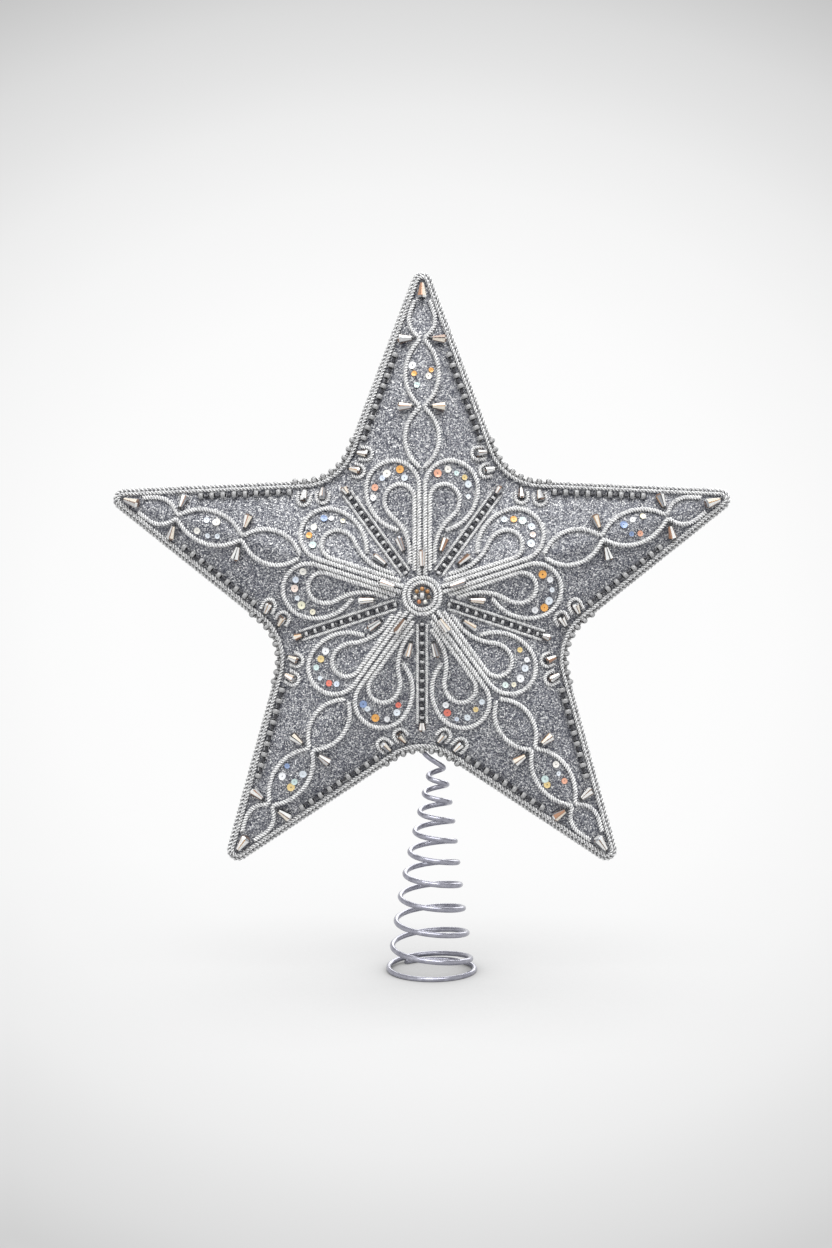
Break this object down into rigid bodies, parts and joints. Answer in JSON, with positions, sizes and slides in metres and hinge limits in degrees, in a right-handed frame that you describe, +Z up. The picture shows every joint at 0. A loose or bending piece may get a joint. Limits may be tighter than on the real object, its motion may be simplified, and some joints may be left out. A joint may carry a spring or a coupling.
{
  "type": "christmas tree topper star",
  "caption": "Padded star of grey glitter cloth couched with silver cord, beads and sequins, on a conical wire coil that grips a tree's leader or stands by itself.",
  "frame": {"origin": "on the floor under the star's upright axis, level with the coil's flattened foot", "axes": "+Z up along the stem, +X to the right of the star's front, -Y towards the front"},
  "size_m": [0.2798, 0.0409, 0.3168],
  "materials": {
    "core_card": "plain grey-brown card",
    "wadding": "soft white polyester wadding",
    "glitter_cloth": "grey cloth covered in fine silver glitter",
    "felt": "light grey felt",
    "cloth_tape": "woven cotton tape",
    "spring_wire": "silver-grey lacquered steel wire",
    "silver_cord": "twisted silver-white cord",
    "cut_glass": "silver-backed cut glass",
    "clear_glass": "clear glass",
    "dark_glass": "black glass",
    "amber_glass": "amber glass",
    "sequins_pearl": "pearl white sequin",
    "sequins_amber": "amber sequin",
    "sequins_blue": "blue sequin",
    "sequins_coral": "coral sequin",
    "sequins_mint": "mint sequin"
  },
  "bodies": {
    "spring": {"coil_spring": "spring_wire"},
    "star": {"arm_1_chain_cords": "silver_cord", "arm_1_notch_loops": "silver_cord", "arm_1_petal_cords": "silver_cord", "arm_1_rib_cords": "silver_cord", "arm_1_teardrop_cords": "silver_cord", "arm_2_chain_cords": "silver_cord", "arm_2_notch_loops": "silver_cord", "arm_2_petal_cords": "silver_cord", "arm_2_rib_cords": "silver_cord", "arm_2_teardrop_cords": "silver_cord", "arm_3_chain_cords": "silver_cord", "arm_3_notch_loops": "silver_cord", "arm_3_petal_cords": "silver_cord", "arm_3_rib_cords": "silver_cord", "arm_3_teardrop_cords": "silver_cord", "arm_4_chain_cords": "silver_cord", "arm_4_notch_loops": "silver_cord", "arm_4_petal_cords": "silver_cord", "arm_4_rib_cords": "silver_cord", "arm_4_teardrop_cords": "silver_cord", "arm_5_chain_cords": "silver_cord", "arm_5_notch_loops": "silver_cord", "arm_5_petal_cords": "silver_cord", "arm_5_rib_cords": "silver_cord", "arm_5_teardrop_cords": "silver_cord", "back_panel": "felt", "border_clear_beads": "clear_glass", "border_cord": "silver_cord", "border_dark_beads": "dark_glass", "core_board": "core_card", "crossing_drops": "cut_glass", "flank_drops": "cut_glass", "front_panel": "glitter_cloth", "notch_drops": "cut_glass", "notch_seed_beads": "clear_glass", "padding": "wadding", "rib_clear_beads": "clear_glass", "rib_dark_beads": "dark_glass", "rib_end_drops": "cut_glass", "rim_cord": "silver_cord", "rosette_beads": "amber_glass", "rosette_centre_bead": "clear_glass", "rosette_rings": "silver_cord", "sequins_amber": "sequins_amber", "sequins_blue": "sequins_blue", "sequins_coral": "sequins_coral", "sequins_mint": "sequins_mint", "sequins_pearl": "sequins_pearl", "stem_drops": "cut_glass", "stem_tape": "cloth_tape", "tip_drops": "cut_glass"}
  },
  "joints": [
    {"name": "star_nod", "type": "hinge", "parent": "spring", "child": "star", "pos_m": [0, 0, 0.05], "axis": [1, 0, 0], "range_deg": [-30, 30], "stiffness_Nm_per_rad": 1, "deforming": ["coil_spring"]}
  ]
}
